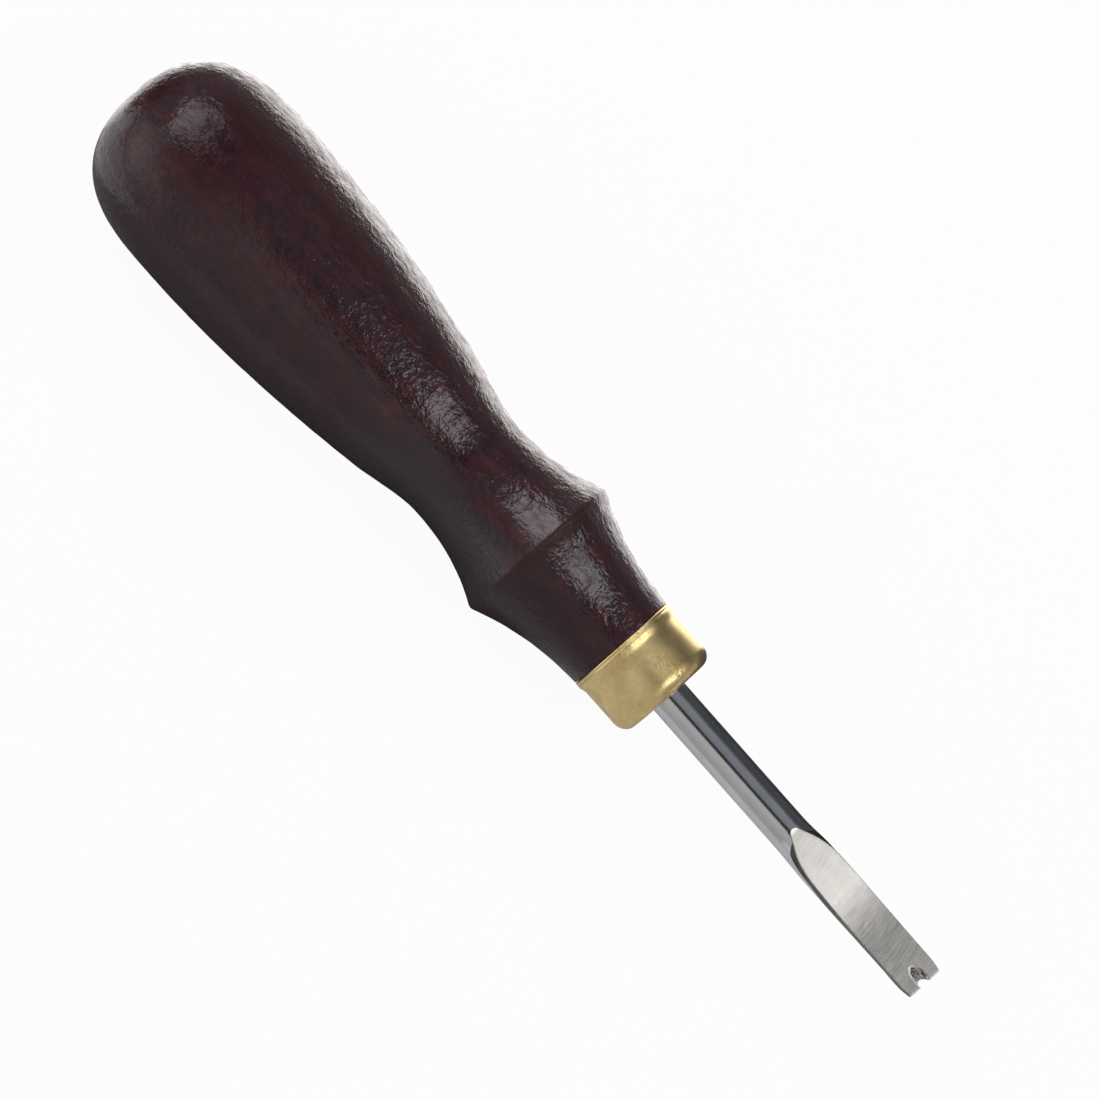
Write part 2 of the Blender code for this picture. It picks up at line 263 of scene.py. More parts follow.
def turning_tree():
    """Turns an outline about the tool's axis, with the finish on its skin a little uneven."""
    tree = bpy.data.node_groups.new("turned_piece", "GeometryNodeTree")
    for name, kind in (("Outline", "Geometry"), ("Turns", "Int"), ("Axis Height", "Float"),
                       ("Unevenness", "Float"), ("Patch Size", "Float"), ("Seed", "Float"),
                       ("Finish", "Material")):
        tree.interface.new_socket(name, in_out="INPUT", socket_type="NodeSocket" + kind)
    tree.interface.new_socket("Piece", in_out="OUTPUT", socket_type="NodeSocketGeometry")
    given = tree.nodes.new("NodeGroupInput").outputs

    # A sheet with one row for each point of the outline and one column for each step of the turn.
    count = add_node(tree, "GeometryNodeAttributeDomainSize", {"Geometry": given["Outline"]})
    columns = math_node(tree, "ADD", given["Turns"], 1.0)
    sheet = add_node(tree, "GeometryNodeMeshGrid", {
        "Size X": 1.0, "Size Y": 1.0,
        "Vertices X": count.outputs["Point Count"], "Vertices Y": columns})
    on_sheet = add_node(tree, "ShaderNodeSeparateXYZ",
                        {0: tree.nodes.new("GeometryNodeInputPosition").outputs[0]})
    last_row = math_node(tree, "SUBTRACT", count.outputs["Point Count"], 1.0)
    row = math_node(tree, "MULTIPLY", math_node(tree, "ADD", on_sheet.outputs["X"], 0.5), last_row)
    row = math_node(tree, "ROUND", row)
    turn = math_node(tree, "MULTIPLY", math_node(tree, "ADD", on_sheet.outputs["Y"], 0.5), math.tau)

    # Each row is carried round the axis at its own radius.
    drawn = add_node(tree, "GeometryNodeSampleIndex", {
        "Geometry": given["Outline"], "Index": row,
        "Value": tree.nodes.new("GeometryNodeInputPosition").outputs[0]}, data_type="FLOAT_VECTOR")
    drawn = add_node(tree, "ShaderNodeSeparateXYZ", {0: drawn.outputs[0]})
    side = math_node(tree, "MULTIPLY", drawn.outputs["Z"], math_node(tree, "SINE", turn))
    rise = math_node(tree, "MULTIPLY", drawn.outputs["Z"], math_node(tree, "COSINE", turn))
    rise = math_node(tree, "ADD", rise, given["Axis Height"])
    place = add_node(tree, "ShaderNodeCombineXYZ",
                     {"X": drawn.outputs["X"], "Y": side, "Z": rise})
    skin = add_node(tree, "GeometryNodeInputNamedAttribute", {"Name": "skin"}, data_type="FLOAT")
    skin = add_node(tree, "GeometryNodeSampleIndex", {
        "Geometry": given["Outline"], "Index": row, "Value": skin.outputs[0]}, data_type="FLOAT")
    kept = add_node(tree, "GeometryNodeStoreNamedAttribute", {
        "Geometry": sheet.outputs["Mesh"], "Name": "skin", "Value": skin.outputs[0]},
        data_type="FLOAT", domain="POINT")
    turned = add_node(tree, "GeometryNodeSetPosition", {
        "Geometry": kept.outputs[0], "Position": place.outputs[0]})
    closed = add_node(tree, "GeometryNodeMergeByDistance", {
        "Geometry": turned.outputs[0], "Distance": MERGE_DISTANCE})

    # The finish sinks in soft patches, never above the outline.
    patches = add_node(tree, "ShaderNodeTexNoise", {
        "W": given["Seed"], "Detail": 1.5,
        "Scale": math_node(tree, "DIVIDE", 1.0, given["Patch Size"])}, noise_dimensions="4D")
    depth = math_node(tree, "SUBTRACT", patches.outputs[0], 1.0)
    depth = math_node(tree, "MULTIPLY", depth, given["Unevenness"])
    on_skin = add_node(tree, "GeometryNodeInputNamedAttribute", {"Name": "skin"}, data_type="FLOAT")
    depth = math_node(tree, "MULTIPLY", depth, on_skin.outputs[0])
    sink = add_node(tree, "ShaderNodeVectorMath", {
        0: tree.nodes.new("GeometryNodeInputNormal").outputs[0], "Scale": depth}, operation="SCALE")
    uneven = add_node(tree, "GeometryNodeSetPosition", {
        "Geometry": closed.outputs[0], "Offset": sink.outputs[0]})

    # Smooth all over but for the true corners.
    smooth = add_node(tree, "GeometryNodeSetShadeSmooth", {"Geometry": uneven.outputs[0]},
                      domain="FACE")
    angle = tree.nodes.new("GeometryNodeInputMeshEdgeAngle")
    corner = math_node(tree, "GREATER_THAN", angle.outputs["Unsigned Angle"], SHARP_ANGLE)
    crisp = add_node(tree, "GeometryNodeSetShadeSmooth", {
        "Geometry": smooth.outputs[0], "Selection": corner, "Shade Smooth": False}, domain="EDGE")
    real = add_node(tree, "GeometryNodeRealizeInstances", {"Geometry": crisp.outputs[0]})
    finished = add_node(tree, "GeometryNodeSetMaterial", {
        "Geometry": real.outputs[0], "Material": given["Finish"]})
    add_node(tree, "NodeGroupOutput", {"Piece": finished.outputs[0]})
    return tree


# Meshes

def link(obj):
    bpy.context.scene.collection.objects.link(obj)
    return obj


def plain_mesh(obj, name):
    """The evaluated mesh of an object, as a new piece without modifiers, its faces outward."""
    graph = bpy.context.evaluated_depsgraph_get()
    mesh = bpy.data.meshes.new_from_object(obj.evaluated_get(graph))
    mesh.name = name
    bm = bmesh.new()
    bm.from_mesh(mesh)
    bmesh.ops.recalc_face_normals(bm, faces=bm.faces)
    bm.to_mesh(mesh)
    bm.free()
    bpy.data.objects.remove(obj, do_unlink=True)
    return link(bpy.data.objects.new(name, mesh))


def turned_piece(tree, name, outline, skin_points, inputs):
    """Runs the turning tree on an outline of (station, radius) points."""
    mesh = bpy.data.meshes.new(name + "_outline")
    edges = [(i, i + 1) for i in range(len(outline) - 1)]
    mesh.from_pydata([(x, 0.0, r) for x, r in outline], edges, [])
    skin = mesh.attributes.new("skin", "FLOAT", "POINT")
    for i in range(skin_points):
        skin.data[i].value = 1.0
    source = link(bpy.data.objects.new(name + "_outline", mesh))
    turning = source.modifiers.new("turning", "NODES")
    turning.node_group = tree
    for item in tree.interface.items_tree:
        if item.in_out == "INPUT" and item.name in inputs:
            turning[item.identifier] = inputs[item.name]
    return plain_mesh(source, name)


def loft(name, rings, strips=None):
    """Skin over rings of equal count, closed at both ends.

    strips gives the material index of each side."""
    bm = bmesh.new()
    loops = [[bm.verts.new(point) for point in ring] for ring in rings]
    count = len(loops[0])
    for near, far in zip(loops, loops[1:]):
        for i in range(count):
            j = (i + 1) % count
            face = bm.faces.new((near[i], near[j], far[j], far[i]))
            face.material_index = strips[i] if strips else 0
    bm.faces.new(loops[0])
    bm.faces.new(loops[-1])
    bmesh.ops.remove_doubles(bm, verts=bm.verts, dist=MERGE_DISTANCE)
    bmesh.ops.dissolve_degenerate(bm, edges=bm.edges, dist=MERGE_DISTANCE)
    bmesh.ops.recalc_face_normals(bm, faces=bm.faces)
    mesh = bpy.data.meshes.new(name)
    bm.to_mesh(mesh)
    bm.free()
    return link(bpy.data.objects.new(name, mesh))


def cut(obj, cutter):
    """Takes the cutter's form out of the object; the cut faces keep the cutter's material."""
    cutting = obj.modifiers.new(cutter.name, "BOOLEAN")
    cutting.operation = "DIFFERENCE"
    cutting.solver = "EXACT"
    cutting.material_mode = "TRANSFER"
    cutting.object = cutter


# Materials

def new_material(name):
    """A material with its tree, its shader and the piece's own coordinates."""
    mat = bpy.data.materials.new(name)
    mat.use_nodes = True
    tree = mat.node_tree
    shader = tree.nodes["Principled BSDF"]
    place = tree.nodes.new("ShaderNodeTexCoord").outputs["Object"]
    return mat, tree, shader, place


def new_metal(name):
    mat, tree, shader, place = new_material(name)
    shader.inputs["Metallic"].default_value = 1.0
    return mat, tree, shader, place


def noise(tree, place, scale, detail=2.0, roughness=0.5):
    """Noise from 0 to 1; scale is in features for each metre along X, Y and Z."""
    stretched = add_node(tree, "ShaderNodeMapping", {"Vector": place, "Scale": scale})
    node = add_node(tree, "ShaderNodeTexNoise", {
        "Vector": stretched.outputs[0], "Scale": 1.0, "Detail": detail, "Roughness": roughness})
    return node.outputs[0]


def cells(tree, place, scale):
    """Rounded cells of uneven size, from 0 in their middles; scale as for noise."""
    stretched = add_node(tree, "ShaderNodeMapping", {"Vector": place, "Scale": scale})
    node = add_node(tree, "ShaderNodeTexVoronoi", {
        "Vector": stretched.outputs[0], "Scale": 1.0, "Randomness": 1.0, "Detail": 1.0})
    return node.outputs["Distance"]


def ramp(tree, factor, *stops):
    """Colours, or grey levels, blended by a factor; each stop is (position, colour)."""
    node = add_node(tree, "ShaderNodeValToRGB", {"Fac": factor})
    elements = node.color_ramp.elements
    while len(elements) < len(stops):
        elements.new(0.5)
    for element, (position, colour) in zip(elements, stops):
        element.position = position
        colour = colour if isinstance(colour, tuple) else (colour, colour, colour)
        element.color = (*colour, 1.0)
    return node.outputs[0]


def spread(tree, factor, low, high, new_low, new_high):
    """A factor carried from one range to another, and held at its ends."""
    node = add_node(tree, "ShaderNodeMapRange", {
        0: factor, 1: low, 2: high, 3: new_low, 4: new_high})
    return node.outputs[0]


def tint(tree, kind, factor, first, second):
    """Two colours mixed by a factor."""
    node = add_node(tree, "ShaderNodeMix", {0: factor, 6: first, 7: second},
                    data_type="RGBA", blend_type=kind)
    return node.outputs[2]


def product(tree, *factors):
    """Factors multiplied together."""
    result = factors[0]
    for factor in factors[1:]:
        result = math_node(tree, "MULTIPLY", result, factor)
    return result


def remainder(tree, share):
    """What a share leaves of the whole."""
    return math_node(tree, "SUBTRACT", 1.0, share)


def bump(tree, height, depth):
    node = add_node(tree, "ShaderNodeBump", {"Height": height, "Distance": depth, "Strength": 1.0})
    return node.outputs[0]


def dress(tree, shader, colour, roughness, normal):
    """Links a finish to its shader."""
    for name, output in (("Base Color", colour), ("Roughness", roughness), ("Normal", normal)):
        tree.links.new(output, shader.inputs[name])


def around_axis(tree, place):
    """Coordinates that follow a turned piece: station, turn about the axis, and zero."""
    parts = add_node(tree, "ShaderNodeSeparateXYZ", {0: place})
    height = math_node(tree, "SUBTRACT", parts.outputs["Z"], AXIS_HEIGHT)
    turn = math_node(tree, "ARCTAN2", parts.outputs["Y"], height)
    return add_node(tree, "ShaderNodeCombineXYZ", {"X": parts.outputs["X"], "Y": turn}).outputs[0]


def lacquered_hardwood():
    """Near-black red stain, mottled by the wood, with painted shade on the near side, painted light
    on the far side and a painted grey reflection on the near flare, under a pebbled lacquer that is
    worn in places.
    """
    mat, tree, shader, place = new_material("lacquered_hardwood")
    mottle = noise(tree, place, (230.0, 420.0, 420.0), detail=4.0, roughness=0.62)
    stain = ramp(tree, mottle, (0.36, (0.017, 0.0055, 0.0075)), (0.56, (0.031, 0.0075, 0.0110)),
                 (0.74, (0.054, 0.0098, 0.0150)))
    streaks = noise(tree, place, (90.0, 950.0, 950.0))
    stain = tint(tree, "MULTIPLY", 1.0, stain, ramp(tree, streaks, (0.30, 0.80), (0.62, 1.0)))
    # What follows changes along the handle, with a ragged edge, and by the turn from straight up.
    station = add_node(tree, "ShaderNodeSeparateXYZ", {0: place}).outputs["X"]
    ragged = noise(tree, place, (700.0, 900.0, 900.0), detail=3.0)
    station = math_node(tree, "MULTIPLY_ADD", ragged, RAGGED_EDGE, station)
    turn = add_node(tree, "ShaderNodeSeparateXYZ", {0: around_axis(tree, place)}).outputs["Y"]
    # A matt brown strip just past the arris, on top, where the lacquer is left off.
    off = math_node(tree, "ABSOLUTE", math_node(tree, "SUBTRACT", station, MATT_STRIP_X))
    matt_arris_strip = product(tree, spread(tree, off, 0.0005, 0.0013, 0.9, 0.0),
                     spread(tree, turn, -0.65, -0.30, 0.1, 1.0),
                     spread(tree, turn, 0.15, 0.50, 1.0, 0.3))
    stain = tint(tree, "MIX", matt_arris_strip, stain, (0.042, 0.0220, 0.0205, 1.0))
    # Painted shade: the stain is darker on the near side.
    near = spread(tree, turn, -0.95, -0.40, 0.65, 0.0)
    stain = tint(tree, "MIX", near, stain, (0.016, 0.0066, 0.0086, 1.0))
    # Painted light: the stain is lighter on the far side.
    far = spread(tree, turn, 0.15, 0.65, 0.0, 0.80)
    stain = tint(tree, "MIX", far, stain, (0.038, 0.0205, 0.0220, 1.0))
    # Painted reflection: a grey sheen on the near flare.
    grey = product(tree, spread(tree, turn, -0.75, -0.35, 0.75, 0.0),
                   spread(tree, station, ARRIS_X - 0.030, ARRIS_X - 0.016, 0.0, 1.0),
                   spread(tree, station, ARRIS_X, ARRIS_X + 0.003, 1.0, 0.0))
    stain = tint(tree, "MIX", grey, stain, (0.0235, 0.0205, 0.0230, 1.0))
    # The lacquer is thin in patches. The hand has worn it a little on the near side, round the butt
    # and under the palm, and more on the near flare.
    thin = noise(tree, place, (380.0, 800.0, 800.0), detail=4.0, roughness=0.70)
    thin = product(tree, spread(tree, thin, 0.40, 0.58, 0.55, 0.0),
                   spread(tree, turn, -0.75, 0.25, 0.05, 1.0))
    flare = product(tree, spread(tree, turn, -0.35, -0.10, 0.6, 0.0),
                    spread(tree, turn, -1.0, -0.6, 0.15, 1.0),
                    spread(tree, station, ARRIS_X - 0.018, ARRIS_X - 0.006, 0.0, 1.0),
                    spread(tree, station, ARRIS_X, ARRIS_X + 0.003, 1.0, 0.4))
    palm = product(tree, spread(tree, turn, -0.6, -0.3, 0.0, 1.0),
                   spread(tree, turn, 0.45, 0.75, 1.0, 0.0),
                   spread(tree, station, BUTT_X + 0.0085, BUTT_X + 0.0120, 0.0, 0.6),
                   spread(tree, station, BUTT_X + 0.016, BUTT_X + 0.026, 1.0, 0.0))
    kept = product(tree, remainder(tree, matt_arris_strip), remainder(tree, thin),
                   spread(tree, turn, -1.1, -0.35, 0.66, 1.0), remainder(tree, flare),
                   spread(tree, station, BUTT_X + 0.004, BUTT_X + 0.026, 0.66, 1.0),
                   remainder(tree, palm))
    # Pebbles and grit in soft lumps over wider ripples, a little flatter round the butt.
    pebbles = cells(tree, place, (2300.0, 2700.0, 2700.0))
    grit = noise(tree, place, (3000.0, 3400.0, 3400.0), roughness=0.6)
    lumps = spread(tree, noise(tree, place, (330.0, 500.0, 500.0)), 0.36, 0.62, 0.45, 1.0)
    height = product(tree, math_node(tree, "MULTIPLY_ADD", pebbles, 0.5, grit), lumps)
    ripples = noise(tree, place, (1000.0, 1300.0, 1300.0), detail=1.5)
    height = product(tree, math_node(tree, "MULTIPLY_ADD", ripples, 2.4, height),
                     spread(tree, station, BUTT_X + 0.006, BUTT_X + 0.026, 0.8, 1.0))
    relief = bump(tree, height, LACQUER_RELIEF)
    dull = noise(tree, place, (600.0, 900.0, 900.0), detail=3.0)
    dress(tree, shader, stain, spread(tree, dull, 0.3, 0.7, 0.38, 0.62), relief)
    tree.links.new(kept, shader.inputs["Coat Weight"])
    tree.links.new(relief, shader.inputs["Coat Normal"])
    shader.inputs["Specular IOR Level"].default_value = 0.05
    shader.inputs["Coat Roughness"].default_value = 0.11
    shader.inputs["Coat IOR"].default_value = 1.46
    return mat


def satin_brass():
    """Drawn brass gone dull: cloudy tarnish, fine turning lines and scuffs in clusters."""
    mat, tree, shader, place = new_metal("satin_brass")
    round_it = around_axis(tree, place)
    cloud = noise(tree, place, (330.0, 330.0, 330.0), detail=4.0, roughness=0.6)
    colour = ramp(tree, cloud, (0.32, (0.60, 0.45, 0.20)), (0.58, (0.72, 0.56, 0.27)),
                  (0.76, (0.78, 0.62, 0.33)))
    # Most scuffs are on top, where it is handled.
    turn = add_node(tree, "ShaderNodeSeparateXYZ", {0: round_it}).outputs["Y"]
    topside = spread(tree, math_node(tree, "ABSOLUTE", turn), 0.15, 0.85, 1.0, 0.0)
    clusters = noise(tree, place, (200.0, 300.0, 300.0))
    clusters = product(tree, spread(tree, clusters, 0.38, 0.58, 0.2, 1.0),
                       spread(tree, topside, 0.0, 1.0, 0.25, 1.0))
    grit = noise(tree, place, (1900.0, 2500.0, 2500.0), detail=4.0, roughness=0.75)
    scuffs = product(tree, spread(tree, grit, 0.56, 0.40, 0.0, 1.0), clusters)
    colour = tint(tree, "MULTIPLY", scuffs, colour, (0.56, 0.54, 0.54, 1.0))
    # Brown pits by the front corner.
    station = add_node(tree, "ShaderNodeSeparateXYZ", {0: place}).outputs["X"]
    pits = spread(tree, cells(tree, place, (1900.0, 1900.0, 1900.0)), 0.16, 0.34, 1.0, 0.0)
    where = spread(tree, noise(tree, place, (380.0, 380.0, 380.0)), 0.46, 0.58, 0.0, 0.9)
    where = product(tree, where,
                    spread(tree, station, FACE_X - 0.0050, FACE_X - 0.0026, 0.15, 1.0))
    colour = tint(tree, "MULTIPLY", product(tree, pits, where), colour, (0.46, 0.38, 0.32, 1.0))
    lines = noise(tree, round_it, (9000.0, 1.5, 1.0))
    height = math_node(tree, "MULTIPLY_ADD", scuffs, -2.5, lines)
    dress(tree, shader, colour, spread(tree, scuffs, 0.0, 1.0, 0.34, 0.56),
          bump(tree, height, BRASS_RELIEF))
    return mat


def polished_steel():
    """Drawn and polished shank steel with faint lines round it."""
    mat, tree, shader, place = new_metal("polished_steel")
    cloud = noise(tree, place, (200.0, 500.0, 500.0), detail=1.0)
    tone = ramp(tree, cloud, (0.3, (0.53, 0.535, 0.55)), (0.7, (0.60, 0.60, 0.61)))
    lines = noise(tree, around_axis(tree, place), (7000.0, 2.0, 1.0))
    dress(tree, shader, tone, spread(tree, cloud, 0.3, 0.7, 0.12, 0.15),
          bump(tree, lines, POLISH_RELIEF))
    return mat


def ground_steel():
    """The flat as it left the grinding belt: fine scratches across the blade, a little slanted."""
    mat, tree, shader, place = new_metal("ground_steel")
    slanted = add_node(tree, "ShaderNodeMapping", {
        "Vector": place, "Rotation": (0.0, 0.0, -GRIND_SLANT)}).outputs[0]
    scratches = noise(tree, slanted, (4300.0, 300.0, 300.0), roughness=0.6)
    stains = noise(tree, place, (420.0, 520.0, 520.0), detail=3.0)
    tone = ramp(tree, scratches, (0.34, (0.427, 0.409, 0.381)), (0.66, (0.463, 0.444, 0.416)))
    tone = tint(tree, "MULTIPLY", 1.0, tone, ramp(tree, stains, (0.35, 0.93), (0.60, 1.0)))
    dress(tree, shader, tone, spread(tree, scratches, 0.36, 0.64, 0.214, 0.250),
          bump(tree, scratches, GRIND_RELIEF))
    return mat


def dark_wall_steel():
    """Side walls of the ground end: a dark, rough steel."""
    mat, tree, shader, place = new_metal("dark_wall_steel")
    scale = noise(tree, place, (900.0, 900.0, 2200.0), detail=3.0, roughness=0.6)
    tone = ramp(tree, scale, (0.32, (0.050, 0.047, 0.043)), (0.68, (0.115, 0.110, 0.100)))
    dress(tree, shader, tone, spread(tree, scale, 0.3, 0.7, 0.52, 0.36),
          bump(tree, scale, FORGE_RELIEF))
    return mat


def filed_steel():
    """The notch's walls, filed and left rough."""
    mat, tree, shader, place = new_metal("filed_steel")
    marks = noise(tree, place, (1700.0, 6500.0, 1700.0), detail=3.0, roughness=0.7)
    tone = ramp(tree, marks, (0.42, (0.07, 0.067, 0.060)), (0.58, (0.70, 0.68, 0.65)))
    dress(tree, shader, tone, spread(tree, marks, 0.3, 0.7, 0.50, 0.30),
          bump(tree, marks, FILE_RELIEF))
    return mat


def edge_steel_painted_highlight():
    """The broken edge round the notch, with a painted highlight: a bright tone, brighter still on
    the near side.
    """
    mat, tree, shader, place = new_metal("edge_steel_painted_highlight")
    wear = noise(tree, place, (1500.0, 1500.0, 1500.0), detail=3.0)
    tone = ramp(tree, wear, (0.3, (0.60, 0.59, 0.57)), (0.7, (0.74, 0.73, 0.71)))
    # Painted highlight: the far side of the edge is darkened, so the near side stays bright.
    across = add_node(tree, "ShaderNodeSeparateXYZ", {0: place}).outputs["Y"]
    tone = tint(tree, "MULTIPLY", spread(tree, across, -0.0005, 0.0005, 0.0, 1.0), tone,
                (0.48, 0.47, 0.46, 1.0))
    dress(tree, shader, tone, spread(tree, wear, 0.3, 0.7, 0.52, 0.40),
          bump(tree, wear, BURNISH_RELIEF))
    return mat


# Handle

def handle_outline():
    """The turned outline from the butt's pole to the shoulder, the tenon and the drilled socket.

    Also counts the points of its lacquered skin."""
    x_belly = BUTT_X + BUTT_LENGTH
    x_taper = x_belly + TAPER_LENGTH
    x_waist = x_taper + HOLLOW_LENGTH
    x_collar = ARRIS_X + ARRIS_LAND
    x_shoulder = FERRULE_X - JOINT_LINE
    belly = (x_belly, BELLY_RADIUS, 0.0)
    taper = (x_taper, TAPER_RADIUS, TAPER_SLOPE)
    waist = (x_waist, WAIST_RADIUS, 0.0)
    flare = (ARRIS_X, ARRIS_RADIUS, FLARE_SLOPE)
    collar = (x_collar, ARRIS_RADIUS, COLLAR_SLOPE)
    shoulder = (x_shoulder, SHOULDER_RADIUS, SHOULDER_SLOPE)

    points = []
    dome_steps = math.ceil((BUTT_LENGTH + BELLY_RADIUS) / OUTLINE_STEP)
    for i in range(dome_steps + 1):
        t = (i / dome_steps) ** 2
        fullness = (1.0 - (1.0 - t) ** BUTT_FULLNESS_ALONG) ** (1.0 / BUTT_FULLNESS_ACROSS)
        points.append((BUTT_X + BUTT_LENGTH * t, BELLY_RADIUS * fullness))
    points += curve_points(belly, taper)
    points += curve_points(taper, waist)
    points += curve_points(waist, flare)
    # The arris is worn to a small crown between the two slopes.
    crown_steps = 6
    for i in range(1, crown_steps + 1):
        x = ARRIS_X + ARRIS_LAND * i / crown_steps
        points.append((x, cubic(x, flare, collar)))
    points += curve_points(collar, shoulder)
    eased = (x_shoulder - SHOULDER_EASE, points[-1][1] - SHOULDER_EASE)
    points = [point for point in points if point[0] < eased[0]]
    points += arc_points(eased, SHOULDER_EASE, math.pi / 2, 0.0, steps=4)
    skin_points = len(points)

    x_socket = FACE_X - SHANK_INSET - SHANK_RADIUS
    points += [
        (x_shoulder, TENON_RADIUS),
        (TENON_X - TENON_CHAMFER, TENON_RADIUS),
        (TENON_X, TENON_RADIUS - TENON_CHAMFER),
        (TENON_X, SOCKET_RADIUS),
        (x_socket, SOCKET_RADIUS),
        (x_socket, SOCKET_END_RADIUS),
        (TANG_X - SOCKET_END_GAP, SOCKET_END_RADIUS),
        (TANG_X - SOCKET_END_GAP, 0.0),
    ]
    return points, skin_points


def make_handle(tree, finish):
    outline, skin_points = handle_outline()
    return turned_piece(tree, "handle_wood", outline, skin_points, {
        "Turns": HANDLE_TURNS, "Axis Height": AXIS_HEIGHT, "Unevenness": LACQUER_UNEVENNESS,
        "Patch Size": LACQUER_PATCH, "Seed": LACQUER_SEED, "Finish": finish})


# Ferrule

def ferrule_outline():
    """The cup's section: rear lip, wall, rounded corner, face, hole, and back along the inside."""
    inside = FERRULE_RADIUS - FERRULE_WALL
    centre = (FACE_X - FERRULE_CORNER, FERRULE_RADIUS - FERRULE_CORNER)
    edge = FERRULE_EDGE
    x_lip = FERRULE_X + edge
    points = [(FERRULE_X, inside)]
    points += arc_points((x_lip, LIP_RADIUS - edge), edge, math.pi, math.pi / 2, steps=5)
    # A bead at the rear edge, set off by a fine groove.
    bead_steps = 10
    for i in range(1, bead_steps + 1):
        turn = math.tau * i / bead_steps
        points.append((x_lip + BEAD_LENGTH * i / bead_steps,
                       LIP_RADIUS - BEAD_DEPTH * (1.0 - math.cos(turn)) / 2))
    points += curve_points((x_lip + BEAD_LENGTH, LIP_RADIUS, 0.0),
                           (FERRULE_X + LIP_LENGTH, FERRULE_RADIUS, 0.0))
    x_corner = FACE_X - FERRULE_CORNER_RUN
    points += curve_points((FERRULE_X + LIP_LENGTH, FERRULE_RADIUS, 0.0),
                           (x_corner, FERRULE_RADIUS, 0.0))
    corner_steps = 20
    for i in range(1, corner_steps + 1):
        turn = math.pi / 2 * i / corner_steps
        points.append((x_corner + FERRULE_CORNER_RUN * math.sin(turn),
                       centre[1] + FERRULE_CORNER * math.cos(turn)))
    points += arc_points((FACE_X - edge, SHANK_HOLE_RADIUS + edge), edge, 0.0, -math.pi / 2,
                         steps=5)
    skin_points = len(points)
    points.append((FACE_X - FERRULE_WALL, SHANK_HOLE_RADIUS))
    points += arc_points(centre, FERRULE_CORNER - FERRULE_WALL, 0.0, math.pi / 2, steps=8)
    points.append((FERRULE_X, inside))
    return points, skin_points


def make_ferrule(tree, finish):
    outline, skin_points = ferrule_outline()
    return turned_piece(tree, "ferrule_cup", outline, skin_points, {
        "Turns": FERRULE_TURNS, "Axis Height": AXIS_HEIGHT, "Unevenness": BRASS_UNEVENNESS,
        "Patch Size": BRASS_PATCH, "Seed": BRASS_SEED, "Finish": finish})


# Blade

def bar_half_width(x):
    """Half width of the hammered bar: it swells under the flat, then runs straight to the tip."""
    back = TIP_X - x
    if back > SPREAD_STATION:
        t = (FLAT_LENGTH - back) / (FLAT_LENGTH - SPREAD_STATION)
        return SHANK_RADIUS + (SPREAD_HALF_WIDTH - SHANK_RADIUS) * ease(t)
    t = ease(1.0 - back / SPREAD_STATION)
    width = SPREAD_HALF_WIDTH + (TIP_HALF_WIDTH - SPREAD_HALF_WIDTH) * t
    width -= TOE_TAPER * max(1.0 - back / TOE_LENGTH, 0.0)
    return width - round_over(back, TIP_CORNER)


def bar_squareness(x):
    t = (FLAT_LENGTH - (TIP_X - x)) / (FLAT_LENGTH - SPREAD_STATION)
    return ROUND + (SPREAD_SQUARENESS - ROUND) * ease(t)


def round_over(back, radius):
    """How far a rounded end falls away, at a distance back from it."""
    if back > radius:
        return 0.0
    return radius - math.sqrt(max(radius ** 2 - (radius - back) ** 2, 0.0))


def bend_run(past, run):
    """Length run beyond a bend that is rounded over a run, at a distance past its middle."""
    t = min(max(past + run / 2, 0.0), run)
    return t * t / (2.0 * run) + max(past - run / 2, 0.0)


def flat_height(x):
    """Height of the ground flat above the axis, with its front edge just broken."""
    from_apex = x - (TIP_X - FLAT_LENGTH)
    if from_apex < 0.0:
        return SHANK_RADIUS
    lead = bend_run(from_apex - FLAT_LEAD / 2, FLAT_LEAD)
    bend = bend_run(x - (TIP_X - FLAT_BEND), FLAT_BEND_RUN)
    height = (SHANK_RADIUS + FLAT_LEAD_SLOPE * from_apex
              + (FLAT_FIRST_SLOPE - FLAT_LEAD_SLOPE) * lead
              + (FLAT_LAST_SLOPE - FLAT_FIRST_SLOPE) * bend)
    return height - round_over(TIP_X - x, FRONT_EDGE)


def wall_depth(x):
    """How far a side wall runs down from the flat's edge, along the side."""
    past = x - (TIP_X - FLAT_LENGTH) - WALL_START
    dropped = ease((past - WALL_DROP_START) / WALL_DROP_RUN)
    return WALL_WIDTH * ease(past / WALL_RUN) + WALL_DROP * dropped


def sole_height(x):
    """Height of the sole under the tip."""
    start = (TIP_X - SOLE_LENGTH, -SHANK_RADIUS, SOLE_START_SLOPE)
    end = (TIP_X, flat_height(TIP_X) + FRONT_EDGE - TIP_THICKNESS, SOLE_END_SLOPE)
    if x < start[0]:
        return -SHANK_RADIUS
    return cubic(x, start, end) + round_over(TIP_X - x, FRONT_EDGE)


def side_point(turn, half_width, half_height, above, below):
    """Point (across, up) of a bar's round side, by its turn from straight up."""
    power = above if math.cos(turn) > 0.0 else below
    across = (abs(math.sin(turn)) / half_width) ** power
    upright = (abs(math.cos(turn)) / half_height) ** power
    reach = (across + upright) ** (-1.0 / power)
    return reach * math.sin(turn), reach * math.cos(turn)


def soft_corner(first, corner, last):
    """Points between two points, bent round the corner between them."""
    points = []
    for i in range(1, EDGE_COLUMNS):
        t = i / EDGE_COLUMNS
        weights = ((1.0 - t) ** 2, 2.0 * t * (1.0 - t), t * t)
        points.append(tuple(sum(w * p[k] for w, p in zip(weights, (first, corner, last)))
                            for k in (0, 1)))
    return points


